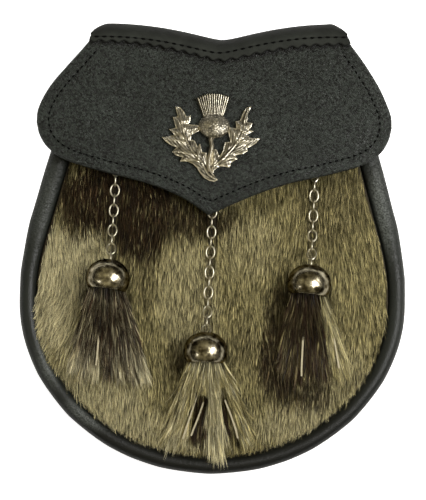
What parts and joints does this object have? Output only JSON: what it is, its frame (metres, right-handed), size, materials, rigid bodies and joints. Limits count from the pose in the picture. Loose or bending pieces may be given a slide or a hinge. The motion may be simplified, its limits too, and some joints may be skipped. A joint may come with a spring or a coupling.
{
  "type": "sporran pouch",
  "caption": "Leather pouch with a fur front, a hinged flap with a cast thistle badge, and tassels that hang on link chains.",
  "frame": {"origin": "middle of the bounding box in X and Y, on the surface that the pouch lies on", "axes": "+Z out of the fur front, +Y towards the hinge at the top, +X to the right as the front is seen"},
  "size_m": [0.1894, 0.222, 0.0599],
  "materials": {
    "black_calf": "soft sheen",
    "grained_leather": "pebbled, matt",
    "soft_black_leather": "smooth, satin",
    "seal_fur": "short combed fur",
    "dark_fur": "fur strips with pale tips",
    "antique_nickel": "cast and darkened in its recesses",
    "polished_nickel": "polished"
  },
  "bodies": {
    "root": {"back_panel": "black_calf", "belt_loop_left": "black_calf", "belt_loop_right": "black_calf", "chain_anchor_left": "antique_nickel", "chain_anchor_middle": "antique_nickel", "chain_anchor_right": "antique_nickel", "flap": "grained_leather", "gusset": "black_calf", "hinge_strip": "soft_black_leather", "link_left_01": "antique_nickel", "link_left_02": "antique_nickel", "link_left_03": "antique_nickel", "link_left_04": "antique_nickel", "link_left_05": "antique_nickel", "link_left_06": "antique_nickel", "link_left_07": "antique_nickel", "link_left_08": "antique_nickel", "link_left_09": "antique_nickel", "link_middle_01": "antique_nickel", "link_middle_02": "antique_nickel", "link_middle_03": "antique_nickel", "link_middle_04": "antique_nickel", "link_middle_05": "antique_nickel", "link_middle_06": "antique_nickel", "link_middle_07": "antique_nickel", "link_middle_08": "antique_nickel", "link_middle_09": "antique_nickel", "link_middle_10": "antique_nickel", "link_middle_11": "antique_nickel", "link_middle_12": "antique_nickel", "link_middle_13": "antique_nickel", "link_right_01": "antique_nickel", "link_right_02": "antique_nickel", "link_right_03": "antique_nickel", "link_right_04": "antique_nickel", "link_right_05": "antique_nickel", "link_right_06": "antique_nickel", "link_right_07": "antique_nickel", "link_right_08": "antique_nickel", "link_right_09": "antique_nickel", "sealskin_front": "seal_fur", "snap_stud": "antique_nickel", "tassel_cap_left": "polished_nickel", "tassel_cap_middle": "polished_nickel", "tassel_cap_right": "polished_nickel", "tassel_left": "dark_fur", "tassel_middle": "dark_fur", "tassel_right": "dark_fur", "thistle_badge": "antique_nickel"}
  },
  "joints": []
}
